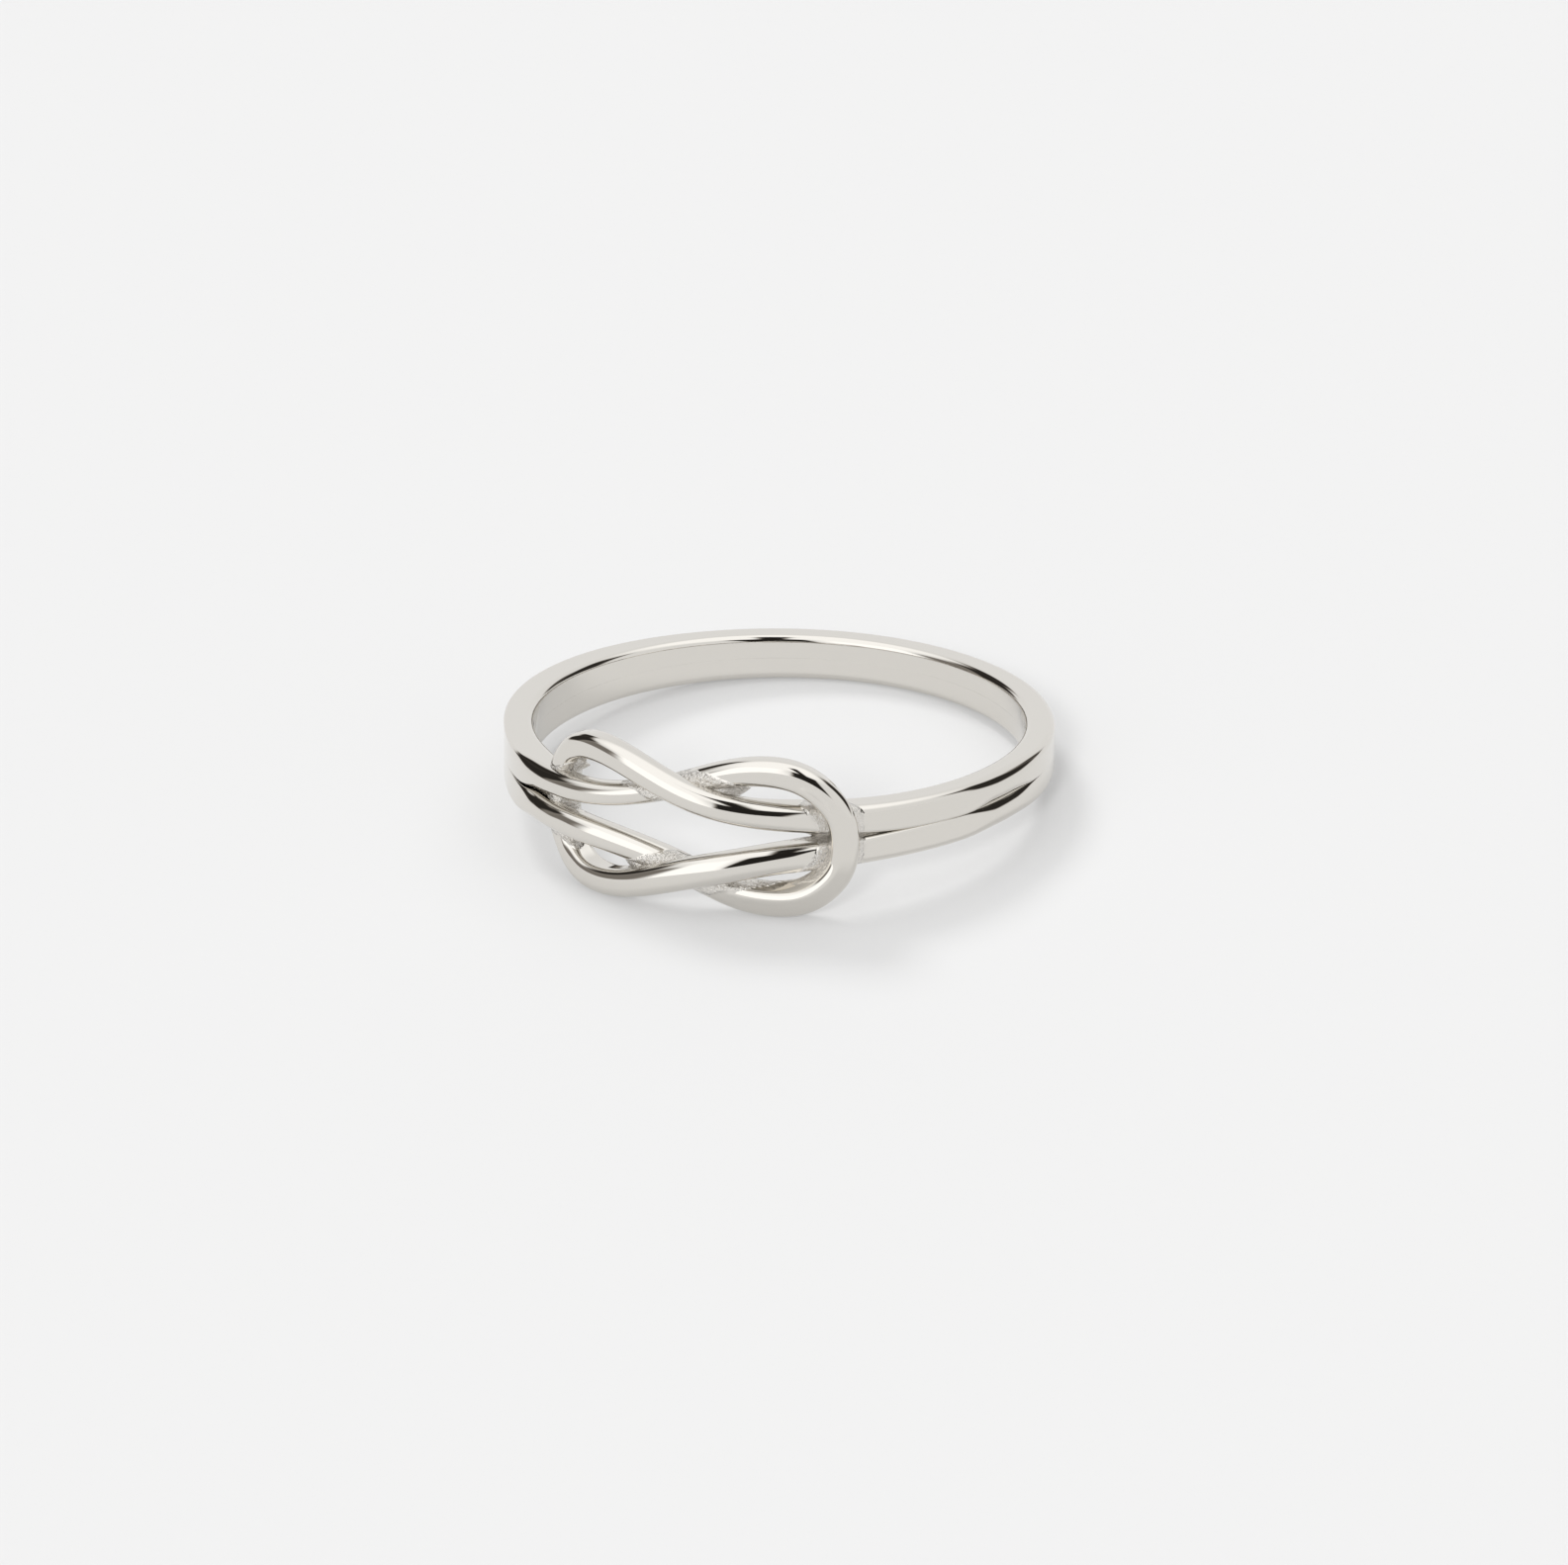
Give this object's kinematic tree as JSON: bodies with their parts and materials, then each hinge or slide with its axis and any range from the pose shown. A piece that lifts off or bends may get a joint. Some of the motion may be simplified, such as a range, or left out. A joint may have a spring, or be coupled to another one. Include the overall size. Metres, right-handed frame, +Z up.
{
  "type": "infinity ring",
  "caption": "Slim polished finger ring whose grooved band divides into two wires at the front, linked in a flat infinity knot.",
  "frame": {"origin": "centre of the ring's outline on the surface it lies on", "axes": "+Z up from the surface, -Y towards the knot, +X along the knot from the loop that passes under to the loop that lies on top"},
  "size_m": [0.0192, 0.02, 0.0058],
  "materials": {
    "silver": "mirror polished, with grainy cast metal left in the recesses"
  },
  "bodies": {
    "root": {"knot_ring": "silver"}
  },
  "joints": []
}
